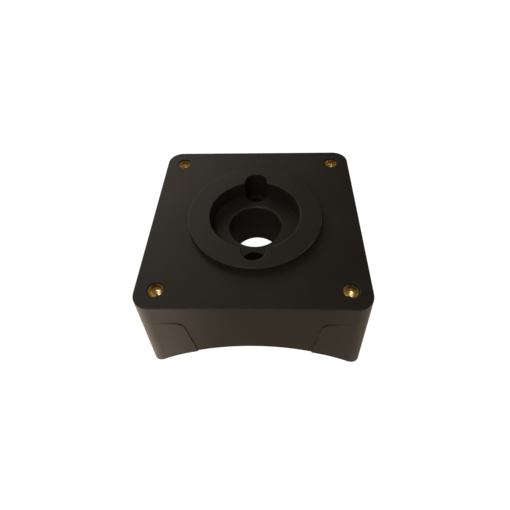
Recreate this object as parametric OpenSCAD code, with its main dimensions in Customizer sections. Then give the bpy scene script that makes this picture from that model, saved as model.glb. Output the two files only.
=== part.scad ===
// Pole mounting block: a square plastic block that sits astride a round pole.
// The top carries a low locating boss with a stepped cable bore, two sunk
// pockets for the screws that hold the block to the pole, and four threaded
// brass inserts for the device that the block carries.
// +Z is up, +X is right and -Y is the front. The pole's axis runs along Y.
// The origin is the centre of the block at the bottom of its legs.

/* [Block] */
// Side length of the square block
block_w = 100; // [96:1:120]
// Radius of the four upright corners
corner_r = 7.5; // [4:0.5:9]
// Height from the bottom of the legs to the top face
block_h = 50; // [47:0.5:60]
// Radius of the saddle, which is the radius of the pole
saddle_r = 73; // [70:0.1:200]
// Width of the flat along the bottom of each leg
foot_flat = 0.6; // [0.2:0.1:6]
// Radius of the softened edge around the top face
edge_r = 0.5; // [0.2:0.1:1]

/* [Boss and bore] */
// Outside diameter of the raised boss
boss_d = 64.4; // [60:0.2:78]
// Height of the boss above the top face
boss_h = 3; // [1.5:0.1:6]
// Diameter of the recess in the boss
recess_d = 43.6; // [40:0.2:48]
// Depth of the recess below the top of the boss
recess_depth = 9.2; // [6:0.1:12]
// Diameter of the bore that runs through to the saddle
bore_d = 25.6; // [16:0.1:28]
// Chamfer at the upper rim of the bore
bore_chamfer = 0.6; // [0.2:0.1:1.5]
// Radius of the softened rims of the boss, the recess and the pockets
rim_r = 0.3; // [0.2:0.1:0.5]

/* [Pole screws] */
// Distance between the two screw pockets, front to back
pocket_pitch = 44.4; // [43:0.1:48]
// Diameter of the pocket that takes a screw head
pocket_d = 11.5; // [10:0.1:12]
// Depth of the pocket below the floor of the recess
pocket_depth = 6; // [3:0.5:9]
// Diameter of the clearance hole under the pocket
clearance_d = 6.6; // [4.5:0.1:9]

/* [Threaded inserts] */
// Distance between insert centres, both ways
insert_pitch = 81.7; // [80:0.1:84]
// Diameter over the knurled bands
insert_d = 8; // [7.6:0.1:9]
// Diameter of the plain collars and of the groove between the bands
collar_d = 7.2; // [6.8:0.1:7.4]
// Length of an insert
insert_len = 12; // [9:0.5:14]
// Depth of the insert's end below the top face
insert_sink = 0.6; // [0.2:0.1:2]
// Minor diameter of the thread
thread_minor_d = 5; // [4.2:0.1:5]
// Diameter of the lead-in at each end of the thread
mouth_d = 6.4; // [6:0.1:6.6]

/* [Corner pads] */
// Angle between a pad and the front or back face that it rises from
pad_taper = 1.5; // [0.5:0.1:3]
// Distance from the middle of the block to where a pad runs out into the face
pad_outer_x = 42; // [40:0.1:42]
// Distance of a pad's upper edge below the top face
pad_drop = 11.8; // [8:0.2:16]
// Distance of a pad's upper inner corner from the middle of the block
pad_inner_x = 29.6; // [28:0.2:36]
// Angle of a pad's inner edge from upright
pad_slant = 9; // [0:1:15]
// Radius of a pad's upper inner corner
pad_corner_r = 4; // [2:0.5:6]

/* [Hidden] */
$fn = 96;

// Extra length that a cutting shape has beyond the face that it cuts
over = 1;

half_w = block_w / 2;
// Height that the pads' tapered planes reach above the face, where they meet in the middle
pad_ridge = pad_outer_x * tan(pad_taper);
// Height of the saddle's crown above the feet
crown_z = saddle_r - sqrt(pow(saddle_r, 2) - pow(half_w - foot_flat, 2));
saddle_axis_z = crown_z - saddle_r;
top_z = block_h;
boss_top_z = top_z + boss_h;
recess_floor_z = boss_top_z - recess_depth;
pocket_floor_z = recess_floor_z - pocket_depth;

// An insert has a collar at each end and two knurled bands with a groove between them
collar_len = insert_len / 12;
groove_len = insert_len / 8;
band_len = (insert_len - 2 * collar_len - groove_len) / 2;
mouth_depth = (mouth_d - thread_minor_d) / 2;

// The blind hole goes on below each insert, to a drill point
drill_d = 6.2;
drill_extra = 4;
drill_point_h = drill_d / 2 / tan(59);

// The region between a square corner and the quarter circle that rounds it
module round_off(r) {
    difference() {
        square(r + over);
        circle(r = r);
    }
}

module rounded_plan(width, depth, r) {
    square([width - 2 * r, depth], center = true);
    square([width, depth - 2 * r], center = true);
    for (sx = [-1, 1], sy = [-1, 1])
        translate([sx * (width / 2 - r), sy * (depth / 2 - r)]) circle(r = r);
}

// Cuts the sharp edge off the outside of a disc of radius r whose top is at z
module soften_outer_rim(r, z) {
    rotate_extrude() translate([r - rim_r, z - rim_r]) round_off(rim_r);
}

// Cuts the sharp edge off the mouth of a hole of radius r whose rim is at z
module soften_hole_rim(r, z) {
    rotate_extrude() translate([r + rim_r, z - rim_r]) mirror([1, 0]) round_off(rim_r);
}

// Cuts the sharp edge off the top face, along its four sides and round its corners
module soften_top_edge() {
    reach = half_w - corner_r;
    for (turn = [0 : 90 : 270]) rotate(turn) {
        translate([half_w - edge_r, reach, top_z - edge_r])
            rotate([90, 0, 0]) linear_extrude(2 * reach) round_off(edge_r);
        translate([reach, reach, top_z - edge_r])
            rotate_extrude(angle = 90) translate([corner_r - edge_r, 0]) round_off(edge_r);
    }
}

// Outline of one pad, seen from the front: x outwards and y up
module pad_outline() {
    turn = 90 + pad_slant;
    tangent = pad_corner_r / tan(turn / 2);
    pad_top_z = top_z - pad_drop;
    arc_x = pad_inner_x + tangent;
    arc_z = pad_top_z - pad_corner_r;
    slant = [sin(pad_slant), cos(pad_slant)];
    slant_start = [pad_inner_x, pad_top_z] - tangent * slant;
    slant_end = [pad_inner_x - pad_top_z * tan(pad_slant), 0];
    polygon([
        [arc_x, pad_top_z], [half_w, pad_top_z], [half_w, 0],
        slant_end, slant_start, [arc_x, arc_z]
    ]);
    translate([arc_x, arc_z]) circle(r = pad_corner_r);
}

// Plan of the pads' tapered planes, front and back, without a pad's inner edge
module pad_plan() {
    ridge_y = half_w + pad_ridge;
    polygon([
        [-pad_outer_x, half_w], [0, ridge_y], [pad_outer_x, half_w],
        [pad_outer_x, -half_w], [0, -ridge_y], [-pad_outer_x, -half_w]
    ]);
}

// Four pads on the lower front and back faces. Each stands proud at its inner edge and runs
// out into the face before the corner
module corner_pads() {
    depth = block_w + 2 * pad_ridge;
    intersection() {
        linear_extrude(top_z - pad_drop) pad_plan();
        for (side = [0, 1]) mirror([side, 0, 0])
            rotate([90, 0, 0]) linear_extrude(depth, center = true) pad_outline();
    }
}

module saddle_cut() {
    length = block_w + 2 * pad_ridge + 2 * over;
    translate([0, 0, saddle_axis_z]) rotate([90, 0, 0])
        cylinder(r = saddle_r, h = length, center = true, $fn = 360);
}

// Recess, bore and the two screw pockets, all cut from above
module boss_cuts() {
    tall = top_z + boss_h + over;
    translate([0, 0, recess_floor_z]) cylinder(d = recess_d, h = recess_depth + over);
    soften_hole_rim(recess_d / 2, boss_top_z);
    cylinder(d = bore_d, h = tall);
    translate([0, 0, recess_floor_z - bore_chamfer])
        cylinder(d1 = bore_d, d2 = bore_d + 2 * bore_chamfer, h = bore_chamfer);
    for (side = [-1, 1]) translate([0, side * pocket_pitch / 2, 0]) {
        translate([0, 0, pocket_floor_z]) cylinder(d = pocket_d, h = tall - pocket_floor_z);
        soften_hole_rim(pocket_d / 2, boss_top_z);
        cylinder(d = clearance_d, h = tall);
    }
}

// Outer side of an insert from its upper end, at z = 0, down to its lower end
function insert_side() =
    let (
        collar_r = collar_d / 2,
        band_r = insert_d / 2,
        band_starts = [-collar_len, -collar_len - band_len - groove_len],
        bands = [for (z = band_starts) each [
            [collar_r, z], [band_r, z], [band_r, z - band_len], [collar_r, z - band_len]
        ]]
    )
    concat([[collar_r, 0]], bands, [[collar_r, -insert_len]]);

// Hole in the block for one insert, with the top face at z = 0
module insert_hole() {
    bottom = -insert_len - drill_extra;
    mouth = [[0, insert_sink + over], [collar_d / 2, insert_sink + over]];
    drilled = [[drill_d / 2, -insert_len], [drill_d / 2, bottom], [0, bottom - drill_point_h]];
    translate([0, 0, -insert_sink]) rotate_extrude()
        polygon(concat(mouth, insert_side(), drilled));
    soften_hole_rim(collar_d / 2, 0);
}

// Places its children on one insert's axis; side_x and side_y are -1 or 1
module at_insert(side_x, side_y) {
    translate([side_x * insert_pitch / 2, side_y * insert_pitch / 2, top_z]) children();
}

module block_body() {
    color("#2b2824") difference() {
        union() {
            linear_extrude(top_z) rounded_plan(block_w, block_w, corner_r);
            corner_pads();
            cylinder(d = boss_d, h = boss_top_z);
        }
        saddle_cut();
        soften_top_edge();
        soften_outer_rim(boss_d / 2, boss_top_z);
        boss_cuts();
        for (side_x = [-1, 1], side_y = [-1, 1])
            at_insert(side_x, side_y) insert_hole();
    }
}

// One threaded insert; side_x and side_y say which corner it is in
module insert(side_x, side_y) {
    mouth_r = mouth_d / 2;
    thread_r = thread_minor_d / 2;
    thread = [
        [mouth_r, -insert_len], [thread_r, mouth_depth - insert_len],
        [thread_r, -mouth_depth], [mouth_r, 0]
    ];
    color("#c79a45") at_insert(side_x, side_y) translate([0, 0, -insert_sink])
        rotate_extrude() polygon(concat(insert_side(), thread));
}

block_body();
insert(-1, -1);  // insert_front_left
insert(1, -1);  // insert_front_right
insert(-1, 1);  // insert_back_left
insert(1, 1);  // insert_back_right
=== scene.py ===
"""Looks of a pole mounting block: machined near-black plastic with four threaded brass inserts.

Lengths are in metres, in the part's own frame: +Z up, -Y the front, and the origin at the middle
of the block, at the height of the bottom of its legs.
"""

import math

import bmesh
import bpy
from mathutils import Matrix, Vector


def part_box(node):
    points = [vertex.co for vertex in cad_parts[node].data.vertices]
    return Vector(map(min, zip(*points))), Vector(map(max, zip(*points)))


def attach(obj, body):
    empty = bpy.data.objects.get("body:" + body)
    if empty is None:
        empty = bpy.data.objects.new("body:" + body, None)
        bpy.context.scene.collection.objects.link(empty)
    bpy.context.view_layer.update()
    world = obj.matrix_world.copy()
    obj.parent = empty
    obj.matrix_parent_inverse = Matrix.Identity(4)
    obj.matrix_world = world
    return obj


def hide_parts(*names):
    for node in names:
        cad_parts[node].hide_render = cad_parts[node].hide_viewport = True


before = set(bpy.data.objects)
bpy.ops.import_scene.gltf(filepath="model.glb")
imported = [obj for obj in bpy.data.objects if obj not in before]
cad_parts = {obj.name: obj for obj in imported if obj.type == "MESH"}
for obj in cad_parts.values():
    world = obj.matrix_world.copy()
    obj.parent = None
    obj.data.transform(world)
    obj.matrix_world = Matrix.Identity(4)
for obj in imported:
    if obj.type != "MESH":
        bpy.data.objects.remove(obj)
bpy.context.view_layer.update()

MM = 0.001

# The block, from the frame
BLOCK_LOW, BLOCK_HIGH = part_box("block_body")
BOSS_HEIGHT = 3 * MM
BOSS_RADIUS = 32.2 * MM
TOP_FACE_Z = BLOCK_HIGH.z - BOSS_HEIGHT

# Camera: where it looks, from where, and through which lens
LOOK_AT = Vector((-0.00075, 0.02701, TOP_FACE_Z))
VIEW_AZIMUTH = math.radians(3.4)
VIEW_ELEVATION = math.radians(42.33)
VIEW_ROLL = math.radians(-2.62)
VIEW_DISTANCE = 0.2264
SENSOR_WIDTH = 36
FOCAL_LENGTH = 29.92
VERTICAL_SHIFT = -0.1475

# Brightness of the white floor that the camera sees, and its depth below the toned floor
FLOOR_WHITE = 1.05
FLOOR_GAP = 1 * MM
FLOOR_RADIUS = 4.0
BACKDROP_RADIUS = 3.9
# Glow of the floor as the block mirrors it, painted light: in the middle, added to each side, and
# underneath, where it is painted shadow of the block
FLOOR_MIDDLE = 0.41
FLOOR_LEFT = 1.65
FLOOR_RIGHT = 0.5
FLOOR_PAINTED_SHADOW = 0.1
FLOOR_COLOUR = (1.0, 0.80, 0.62, 1)
# Half width and half depth of the painted shadow on the toned floor, and the width of its soft edge
UNDER_HALF_WIDTH = 45 * MM
UNDER_HALF_DEPTH = 36 * MM
UNDER_EDGE = 4 * MM

# The room: an even glow, and soft glows as azimuth, elevation, focus, strength
ROOM_GLOW = 0.01
ROOM_LOBES = (
    (214, 27, 12, 2.6),
    (90, 15, 6, 0.8),
    (330, 30, 6, 0.95),
)
ROOM_COLOUR = (1.0, 0.86, 0.72, 1)

# The lamp that makes the bright streak inside each insert
LAMP_POWER = 1.2
LAMP_SIZE = 0.12
LAMP_DISTANCE = 0.8
LAMP_AZIMUTH = math.radians(345)
LAMP_ELEVATION = math.radians(58)
LAMP_COLOUR = (1.0, 0.93, 0.82)

# Tool marks: radius of the wide cutter that faced the top, and the width of one pass
CUTTER_RADIUS = 70 * MM
PASS_WIDTH = 1.1 * MM
# Ring round the boss's foot and the recess, where edges below the rim aren't worn
SHELTERED_RING = 24.5 * MM
SHELTERED_HALF_WIDTH = 9.5 * MM
RIM_ZONE = 1 * MM

# Depth of an insert's rim below the top face
INSERT_SINK = 0.6 * MM
# Insert details that the plain CAD insert leaves out
KNURL_RIBS = 36
KNURL_DEPTH = 0.22 * MM
KNURL_TWIST = math.radians(25)
KNURL_ROWS = 8
RIM_CHAMFER = 0.12 * MM
COLLAR_RADIUS = 3.6 * MM
MOUTH_RADIUS = 3.2 * MM
# Depth of the plain mouth at each end of the bore, and how fast the lead-in cone narrows
PLAIN_DEPTH = 2.5 * MM
LEAD_IN_SLOPE = 0.35
THREAD_CREST_RADIUS = 2.5 * MM
THREAD_ROOT_RADIUS = 3.0 * MM
THREAD_PITCH = 1.0 * MM
THREAD_ROWS_PER_PITCH = 12
CREST_FLAT = 0.25
ROOT_FLAT = 0.12
SHARP_ANGLE = math.radians(35)


def direction(azimuth, elevation):
    """Unit vector towards a place round the block. Azimuth 0 is the front, and 90 the right."""
    flat = math.cos(elevation)
    return Vector((math.sin(azimuth) * flat, -math.cos(azimuth) * flat, math.sin(elevation)))


def link(item):
    bpy.context.scene.collection.objects.link(item)
    return item


# ---------------------------------------------------------------- camera

def make_camera():
    back = direction(VIEW_AZIMUTH, VIEW_ELEVATION)
    level_right = Vector((0, 0, 1)).cross(back).normalized()
    level_up = back.cross(level_right)
    right = level_right * math.cos(VIEW_ROLL) + level_up * math.sin(VIEW_ROLL)
    up = level_up * math.cos(VIEW_ROLL) - level_right * math.sin(VIEW_ROLL)
    data = bpy.data.cameras.new("camera")
    data.sensor_width = SENSOR_WIDTH
    data.lens = FOCAL_LENGTH
    data.shift_y = VERTICAL_SHIFT
    data.clip_start = 0.01
    data.clip_end = 20
    camera = link(bpy.data.objects.new("camera", data))
    turn = Matrix((right, up, back)).transposed().to_4x4()
    camera.matrix_world = Matrix.Translation(LOOK_AT + back * VIEW_DISTANCE) @ turn
    bpy.context.scene.camera = camera


# ---------------------------------------------------------------- node helpers

def add(tree, kind, inputs=None, **settings):
    """Adds a shader node. An input given as another node's output is linked to it."""
    made = tree.nodes.new(kind)
    for name, value in settings.items():
        setattr(made, name, value)
    for name, value in (inputs or {}).items():
        if isinstance(value, bpy.types.NodeSocket):
            tree.links.new(value, made.inputs[name])
        else:
            made.inputs[name].default_value = value
    return made


def calc(tree, operation, *values):
    """The result of one Math node."""
    made = add(tree, "ShaderNodeMath", dict(enumerate(values)), operation=operation)
    return made.outputs["Value"]


def ramp(tree, value, start, end, low=0.0, high=1.0):
    """value taken from the range start..end to the range low..high, and held at its ends."""
    inputs = {"Value": value, "From Min": start, "From Max": end, "To Min": low, "To Max": high}
    return add(tree, "ShaderNodeMapRange", inputs).outputs["Result"]


def mix(tree, factor, first, second):
    """A colour between first and second."""
    inputs = {0: factor, 6: first, 7: second}
    return add(tree, "ShaderNodeMix", inputs, data_type="RGBA").outputs[2]


def noise(tree, place, scale, detail=2.0, roughness=0.5):
    inputs = {"Vector": place, "Scale": scale, "Detail": detail, "Roughness": roughness}
    return add(tree, "ShaderNodeTexNoise", inputs).outputs["Fac"]


def stretched(tree, place, scale, turn=(0, 0, 0)):
    """place, turned and scaled by a different amount along each axis."""
    inputs = {"Vector": place, "Rotation": turn, "Scale": scale}
    return add(tree, "ShaderNodeMapping", inputs).outputs["Vector"]


def new_tree(name):
    """A material's empty node tree and its coordinates in the object's own frame."""
    material = bpy.data.materials.new(name)
    material.use_nodes = True
    tree = material.node_tree
    tree.nodes.clear()
    place = add(tree, "ShaderNodeTexCoord").outputs["Object"]
    return material, tree, place


def finish_surface(tree, shader):
    add(tree, "ShaderNodeOutputMaterial", {"Surface": shader.outputs[0]})


# ---------------------------------------------------------------- black plastic

def axis_distance(tree, x, y):
    """Distance from the axis of the boss."""
    flat = add(tree, "ShaderNodeCombineXYZ", {"X": x, "Y": y}).outputs["Vector"]
    return add(tree, "ShaderNodeVectorMath", {0: flat}, operation="LENGTH").outputs["Value"]


def cutter_path(tree, place):
    """Distance across the cutter's path, in metres: its tool marks repeat along this.

    Inside the boss everything is turned, so that the marks are rings. The plate's top is faced
    with a wide cutter, which leaves arcs, and the sides and the saddle are milled lengthwise.
    """
    split = add(tree, "ShaderNodeSeparateXYZ", {"Vector": place})
    x, y, z = (split.outputs[axis] for axis in "XYZ")
    facing = add(tree, "ShaderNodeNewGeometry").outputs["Normal"]
    normal = add(tree, "ShaderNodeSeparateXYZ", {"Vector": facing})
    radius = axis_distance(tree, x, y)
    turned = calc(tree, "ADD", radius, z)
    y_squared = calc(tree, "POWER", y, 2.0)
    bulge = calc(tree, "SQRT", calc(tree, "SUBTRACT", CUTTER_RADIUS ** 2, y_squared))
    faced = calc(tree, "SUBTRACT", x, bulge)
    on_end = calc(tree, "GREATER_THAN", calc(tree, "ABSOLUTE", normal.outputs["X"]), 0.9)
    milled = add(tree, "ShaderNodeMix", {0: on_end, 2: x, 3: y}).outputs[0]
    on_top = calc(tree, "GREATER_THAN", normal.outputs["Z"], 0.5)
    outside = add(tree, "ShaderNodeMix", {0: on_top, 2: milled, 3: faced}).outputs[0]
    in_boss = calc(tree, "LESS_THAN", radius, BOSS_RADIUS + 0.2 * MM)
    return add(tree, "ShaderNodeMix", {0: in_boss, 2: outside, 3: turned}).outputs[0]


def tool_marks(tree, place):
    """Height from 0 to 1 of the tool marks, broken up so that no two passes look alike."""
    path = cutter_path(tree, place)
    wander = calc(tree, "MULTIPLY", noise(tree, place, 60.0), 0.6 * MM)
    across = calc(tree, "ADD", path, wander)
    passes = calc(tree, "SINE", calc(tree, "MULTIPLY", across, 2 * math.pi / PASS_WIDTH))
    strength = ramp(tree, noise(tree, place, 35.0, 3.0), 0.35, 0.7, 0.15, 0.5)
    return calc(tree, "MULTIPLY_ADD", passes, strength, 0.5)


def hairlines(tree, place):
    """Mask of thin handling scratches, in two directions."""
    masks = []
    for turn, seed_shift in ((0.5, 0.0), (2.2, 3.7)):
        laid = stretched(tree, place, (30, 1500, 30), (0, 0, turn))
        inputs = {0: laid, 1: (seed_shift, 0, 0)}
        moved = add(tree, "ShaderNodeVectorMath", inputs, operation="ADD").outputs[0]
        masks.append(ramp(tree, noise(tree, moved, 1.0, 1.0), 0.765, 0.80))
    return calc(tree, "MAXIMUM", masks[0], masks[1])


def dust_specks(tree, place):
    """Mask of sparse pale specks, each about a third of a millimetre across."""
    cells = add(tree, "ShaderNodeTexVoronoi", {"Vector": place, "Scale": 260.0})
    spot = ramp(tree, cells.outputs["Distance"], 0.035, 0.06, 1.0, 0.0)
    chosen = add(tree, "ShaderNodeSeparateXYZ", {"Vector": cells.outputs["Color"]})
    rare = calc(tree, "GREATER_THAN", chosen.outputs["X"], 0.86)
    return calc(tree, "MULTIPLY", spot, rare)


def worn_edges(tree, place):
    """Mask of the edges that handling has burnished: not those at the boss's foot and inside it."""
    soft = add(tree, "ShaderNodeBevel", {"Radius": 0.5 * MM}, samples=4).outputs["Normal"]
    true = add(tree, "ShaderNodeNewGeometry").outputs["Normal"]
    alike = add(tree, "ShaderNodeVectorMath", {0: soft, 1: true}, operation="DOT_PRODUCT")
    edge = ramp(tree, alike.outputs["Value"], 0.995, 0.93)
    patchy = ramp(tree, noise(tree, place, 180.0, 4.0), 0.35, 0.65)
    split = add(tree, "ShaderNodeSeparateXYZ", {"Vector": place})
    radius = axis_distance(tree, split.outputs["X"], split.outputs["Y"])
    from_ring = calc(tree, "ABSOLUTE", calc(tree, "SUBTRACT", radius, SHELTERED_RING))
    near_boss = calc(tree, "LESS_THAN", from_ring, SHELTERED_HALF_WIDTH)
    below_rim = calc(tree, "LESS_THAN", split.outputs["Z"], BLOCK_HIGH.z - RIM_ZONE)
    sheltered = calc(tree, "MULTIPLY", near_boss, below_rim)
    exposed = calc(tree, "SUBTRACT", 1.0, sheltered)
    return calc(tree, "MULTIPLY", calc(tree, "MULTIPLY", edge, patchy), exposed)


def black_plastic():
    material, tree, place = new_tree("black_plastic_machined")
    marks = tool_marks(tree, place)
    scratches = hairlines(tree, place)
    specks = dust_specks(tree, place)
    edges = worn_edges(tree, place)
    grain = noise(tree, place, 2600.0, 3.0)
    cloud = noise(tree, place, 28.0, 4.0, 0.6)

    clouded = ramp(tree, cloud, 0.3, 0.7)
    grainy = ramp(tree, grain, 0.3, 0.7, 0.0, 0.25)
    scratchy = calc(tree, "MULTIPLY", scratches, 0.25)
    dusty = calc(tree, "MULTIPLY", specks, 0.5)
    body = mix(tree, clouded, (0.0142, 0.0135, 0.0117, 1), (0.0196, 0.0185, 0.0160, 1))
    grained = mix(tree, grainy, body, (0.030, 0.027, 0.022, 1))
    burnished = mix(tree, edges, grained, (0.10, 0.095, 0.084, 1))
    scratched = mix(tree, scratchy, burnished, (0.07, 0.064, 0.055, 1))
    colour = mix(tree, dusty, scratched, (0.12, 0.11, 0.095, 1))

    patches = ramp(tree, cloud, 0.3, 0.7, 0.40, 0.50)
    streaky = calc(tree, "MULTIPLY_ADD", marks, 0.03, patches)
    roughness = calc(tree, "MULTIPLY_ADD", edges, -0.08, streaky)

    fine = add(tree, "ShaderNodeBump", {"Height": grain, "Strength": 0.5, "Distance": 0.012 * MM})
    cuts = {"Height": marks, "Strength": 0.5, "Distance": 0.002 * MM, "Normal": fine.outputs[0]}
    cut = add(tree, "ShaderNodeBump", cuts)
    nicks = {"Height": scratches, "Strength": 0.5, "Distance": 0.01 * MM, "Normal": cut.outputs[0]}
    surface = add(tree, "ShaderNodeBump", nicks, invert=True)

    finish_surface(tree, add(tree, "ShaderNodeBsdfPrincipled", {
        "Base Color": colour,
        "Roughness": roughness,
        "IOR": 1.48,
        "Specular IOR Level": 0.3,
        "Normal": surface.outputs[0],
    }))
    return material


# ---------------------------------------------------------------- brass

def brass():
    """Turned brass. The rim is painted shade: dark and not metallic, for the insert's rim sunk
    below the top face.
    """
    material, tree, place = new_tree("brass_turned")
    stain = noise(tree, place, 420.0, 4.0, 0.6)
    grain = noise(tree, stretched(tree, place, (900, 900, 9000)), 1.0, 2.0)
    height = add(tree, "ShaderNodeSeparateXYZ", {"Vector": place}).outputs["Z"]
    rim_z = TOP_FACE_Z - INSERT_SINK
    # Painted shade: the top of the insert, down to a third of a millimetre below its rim, is dark
    # and not metallic.
    brass_below_rim_shade = ramp(tree, height, rim_z - 0.15 * MM, rim_z - 0.3 * MM)
    metal = mix(tree, ramp(tree, stain, 0.35, 0.75), (0.86, 0.70, 0.36, 1), (0.68, 0.52, 0.23, 1))
    colour = mix(tree, brass_below_rim_shade, (0.02, 0.019, 0.016, 1), metal)
    roughness = ramp(tree, stain, 0.3, 0.8, 0.27, 0.38)
    lathe = add(tree, "ShaderNodeBump", {"Height": grain, "Strength": 0.9, "Distance": 0.03 * MM})
    finish_surface(tree, add(tree, "ShaderNodeBsdfPrincipled", {
        "Base Color": colour,
        "Metallic": brass_below_rim_shade,
        "Roughness": roughness,
        "Normal": lathe.outputs[0],
    }))
    return material


# ---------------------------------------------------------------- threaded inserts

def thread_radius(share):
    """Radius of the thread at a share of one pitch: flat crest, flank, narrow root, flank."""
    from_root = abs(share - 0.5) * 2
    rise = (from_root - ROOT_FLAT) / (1 - CREST_FLAT - ROOT_FLAT)
    depth = THREAD_ROOT_RADIUS - THREAD_CREST_RADIUS
    return THREAD_ROOT_RADIUS - depth * min(max(rise, 0), 1)


def circle(bm, axis, z, radius_at, turn=0.0):
    """A ring of vertices. radius_at gives the radius for a vertex's number round the ring."""
    steps = 2 * KNURL_RIBS
    ring = []
    for step in range(steps):
        angle = turn + 2 * math.pi * step / steps
        radius = radius_at(step)
        spot = (axis.x + radius * math.cos(angle), axis.y + radius * math.sin(angle), z)
        ring.append(bm.verts.new(spot))
    return ring


def outer_rings(bm, axis, top_z, length, band_radius):
    """The outside from the top down: collar, knurled band, groove, knurled band, collar."""
    collar = length / 12
    groove = length / 8
    band = (length - 2 * collar - groove) / 2

    def plain(z, radius, turn=0.0):
        return circle(bm, axis, z, lambda step: radius, turn)

    def ribbed(z, turn):
        return circle(bm, axis, z, lambda step: band_radius - KNURL_DEPTH * (step % 2), turn)

    rings = [
        plain(top_z, COLLAR_RADIUS - RIM_CHAMFER),
        plain(top_z - RIM_CHAMFER, COLLAR_RADIUS),
        plain(top_z - collar, COLLAR_RADIUS),
    ]
    for start, twist_from, twist_to in ((collar, 0, 1), (collar + band + groove, 1, 0)):
        for row in range(KNURL_ROWS + 1):
            share = row / KNURL_ROWS
            turn = KNURL_TWIST * (twist_from + (twist_to - twist_from) * share)
            rings.append(ribbed(top_z - start - band * share, turn))
        end_turn = KNURL_TWIST * twist_to
        rings.append(plain(top_z - start - band, COLLAR_RADIUS, end_turn))
        if twist_to:
            rings.append(plain(top_z - start - band - groove, COLLAR_RADIUS, end_turn))
    rings.append(plain(top_z - length + RIM_CHAMFER, COLLAR_RADIUS))
    rings.append(plain(top_z - length, COLLAR_RADIUS - RIM_CHAMFER))
    return rings


def bore_rings(bm, axis, top_z, length):
    """The bore from the bottom up: its thread, and a plain mouth and lead-in cone at each end."""
    steps = 2 * KNURL_RIBS
    rows = round(length / THREAD_PITCH) * THREAD_ROWS_PER_PITCH
    rings = []
    for row in range(rows + 1):
        height = length * row / rows
        depth = min(height, length - height)
        lead_in = MOUTH_RADIUS - LEAD_IN_SLOPE * max(depth - PLAIN_DEPTH, 0)

        def radius_at(step):
            turns = height / THREAD_PITCH - step / steps
            return max(lead_in, thread_radius(turns % 1))

        rings.append(circle(bm, axis, top_z - length + height, radius_at))
    return rings


def make_insert(node, material):
    """A threaded insert with a knurled outside, in place of the plain one of the same name."""
    low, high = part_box(node)
    axis = (low + high) / 2
    length = high.z - low.z
    band_radius = (high.x - low.x) / 2
    bm = bmesh.new()
    rings = outer_rings(bm, axis, high.z, length, band_radius)
    rings += bore_rings(bm, axis, high.z, length)
    for index, ring in enumerate(rings):
        after = rings[(index + 1) % len(rings)]
        for step in range(len(ring)):
            following = (step + 1) % len(ring)
            bm.faces.new((ring[step], ring[following], after[following], after[step]))
    bmesh.ops.recalc_face_normals(bm, faces=bm.faces)
    mesh = bpy.data.meshes.new("threaded_" + node)
    bm.to_mesh(mesh)
    bm.free()
    mesh.shade_smooth()
    mesh.set_sharp_from_angle(angle=SHARP_ANGLE)
    mesh.materials.append(material)
    piece = link(bpy.data.objects.new("threaded_" + node, mesh))
    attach(piece, "root")
    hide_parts(node)


# ---------------------------------------------------------------- floor and room

def stage_mesh(name, bm, material):
    """A stage object, which isn't part of the block."""
    mesh = bpy.data.meshes.new(name)
    bm.to_mesh(mesh)
    bm.free()
    mesh.materials.append(material)
    made = link(bpy.data.objects.new(name, mesh))
    return made


def stage_floor(name, z, material):
    bm = bmesh.new()
    bmesh.ops.create_circle(bm, cap_ends=True, segments=96, radius=FLOOR_RADIUS)
    floor = stage_mesh(name, bm, material)
    floor.location.z = z
    return floor


def white_glow(name):
    material, tree, _ = new_tree(name)
    white = {"Color": (1, 1, 1, 1), "Strength": FLOOR_WHITE}
    finish_surface(tree, add(tree, "ShaderNodeEmission", white))
    return material


def make_white_floor():
    """The floor that the camera sees. It is hidden from the block by the toned floor above it."""
    stage_floor("floor", BLOCK_LOW.z - FLOOR_GAP, white_glow("floor_white"))


def make_backdrop():
    """A white dome for the camera alone, so that low views have a white background too."""
    bm = bmesh.new()
    bmesh.ops.create_icosphere(bm, subdivisions=3, radius=BACKDROP_RADIUS)
    dome = stage_mesh("backdrop", bm, white_glow("backdrop_white"))
    dome.visible_diffuse = False
    dome.visible_glossy = False
    dome.visible_transmission = False
    dome.visible_shadow = False


def painted_shadow_under_block(tree, x, y):
    """Mask of the painted shadow on the floor: the part that the block covers."""
    off_x = calc(tree, "ABSOLUTE", x)
    off_y = calc(tree, "ABSOLUTE", y)
    across = ramp(tree, off_x, UNDER_HALF_WIDTH, UNDER_HALF_WIDTH - UNDER_EDGE)
    along = ramp(tree, off_y, UNDER_HALF_DEPTH + UNDER_EDGE, UNDER_HALF_DEPTH)
    return calc(tree, "MULTIPLY", across, along)


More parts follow.
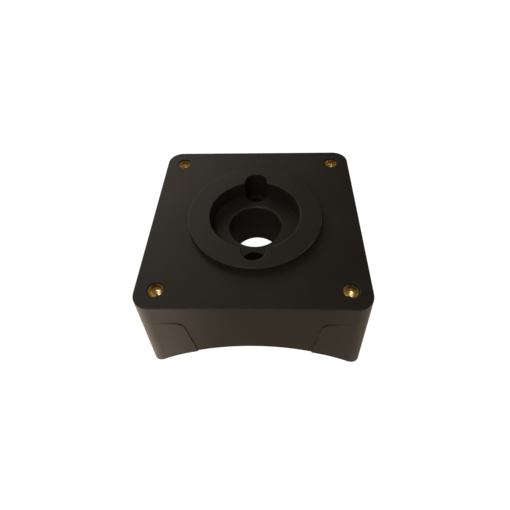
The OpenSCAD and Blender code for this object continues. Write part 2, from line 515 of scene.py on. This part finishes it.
def make_toned_floor():
    """The floor that the block mirrors. Its glow is painted light, brighter at the sides, and
    painted shadow, dark under the block.
    """
    material, tree, place = new_tree("floor_toned")
    split = add(tree, "ShaderNodeSeparateXYZ", {"Vector": place})
    x, y = split.outputs["X"], split.outputs["Y"]
    # Painted light: the glow rises to the left and right of the block and fades with distance from
    # it.
    left = ramp(tree, x, -0.02, -0.08, 0.0, FLOOR_LEFT)
    right = ramp(tree, x, 0.03, 0.10, 0.0, FLOOR_RIGHT)
    near = calc(tree, "ADD", calc(tree, "ADD", left, right), FLOOR_MIDDLE)
    reach = add(tree, "ShaderNodeVectorMath", {0: place}, operation="LENGTH").outputs["Value"]
    glow = calc(tree, "MULTIPLY", near, ramp(tree, reach, 0.07, 0.20, 1.15, 0.65))
    # Painted shadow: the glow drops low where the block covers the floor.
    inputs = {0: painted_shadow_under_block(tree, x, y), 2: glow, 3: FLOOR_PAINTED_SHADOW}
    strength = add(tree, "ShaderNodeMix", inputs).outputs[0]
    light = add(tree, "ShaderNodeEmission", {"Color": FLOOR_COLOUR, "Strength": strength})
    finish_surface(tree, light)
    toned = stage_floor("floor_toned", BLOCK_LOW.z, material)
    toned.visible_camera = False


def make_lamp():
    data = bpy.data.lights.new("lamp", "AREA")
    data.size = LAMP_SIZE
    data.energy = LAMP_POWER
    data.color = LAMP_COLOUR
    lamp = link(bpy.data.objects.new("lamp", data))
    towards = direction(LAMP_AZIMUTH, LAMP_ELEVATION)
    lamp.location = Vector((0, 0, TOP_FACE_Z)) + towards * LAMP_DISTANCE
    lamp.rotation_mode = "QUATERNION"
    lamp.rotation_quaternion = towards.to_track_quat("Z", "Y")


def make_world():
    """A dim room with a soft glow where each lamp or pale wall stands."""
    world = bpy.data.worlds.new("room")
    bpy.context.scene.world = world
    world.use_nodes = True
    tree = world.node_tree
    tree.nodes.clear()
    towards = add(tree, "ShaderNodeTexCoord").outputs["Generated"]
    total = ROOM_GLOW
    for azimuth, elevation, focus, strength in ROOM_LOBES:
        centre = direction(math.radians(azimuth), math.radians(elevation))
        near = add(tree, "ShaderNodeVectorMath", {0: towards, 1: centre}, operation="DOT_PRODUCT")
        facing = calc(tree, "MAXIMUM", near.outputs["Value"], 0.0)
        spread = calc(tree, "POWER", facing, float(focus))
        total = calc(tree, "MULTIPLY_ADD", spread, strength, total)
    sky = add(tree, "ShaderNodeBackground", {"Color": ROOM_COLOUR, "Strength": total})
    add(tree, "ShaderNodeOutputWorld", {"Surface": sky.outputs[0]})


def main():
    make_camera()
    make_white_floor()
    make_toned_floor()
    make_backdrop()
    make_world()
    make_lamp()
    bpy.context.scene.view_settings.view_transform = "Standard"
    plastic = black_plastic()
    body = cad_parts["block_body"]
    body.material_slots[0].material = plastic
    metal = brass()
    for node in sorted(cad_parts):
        if node.startswith("insert"):
            make_insert(node, metal)


main()
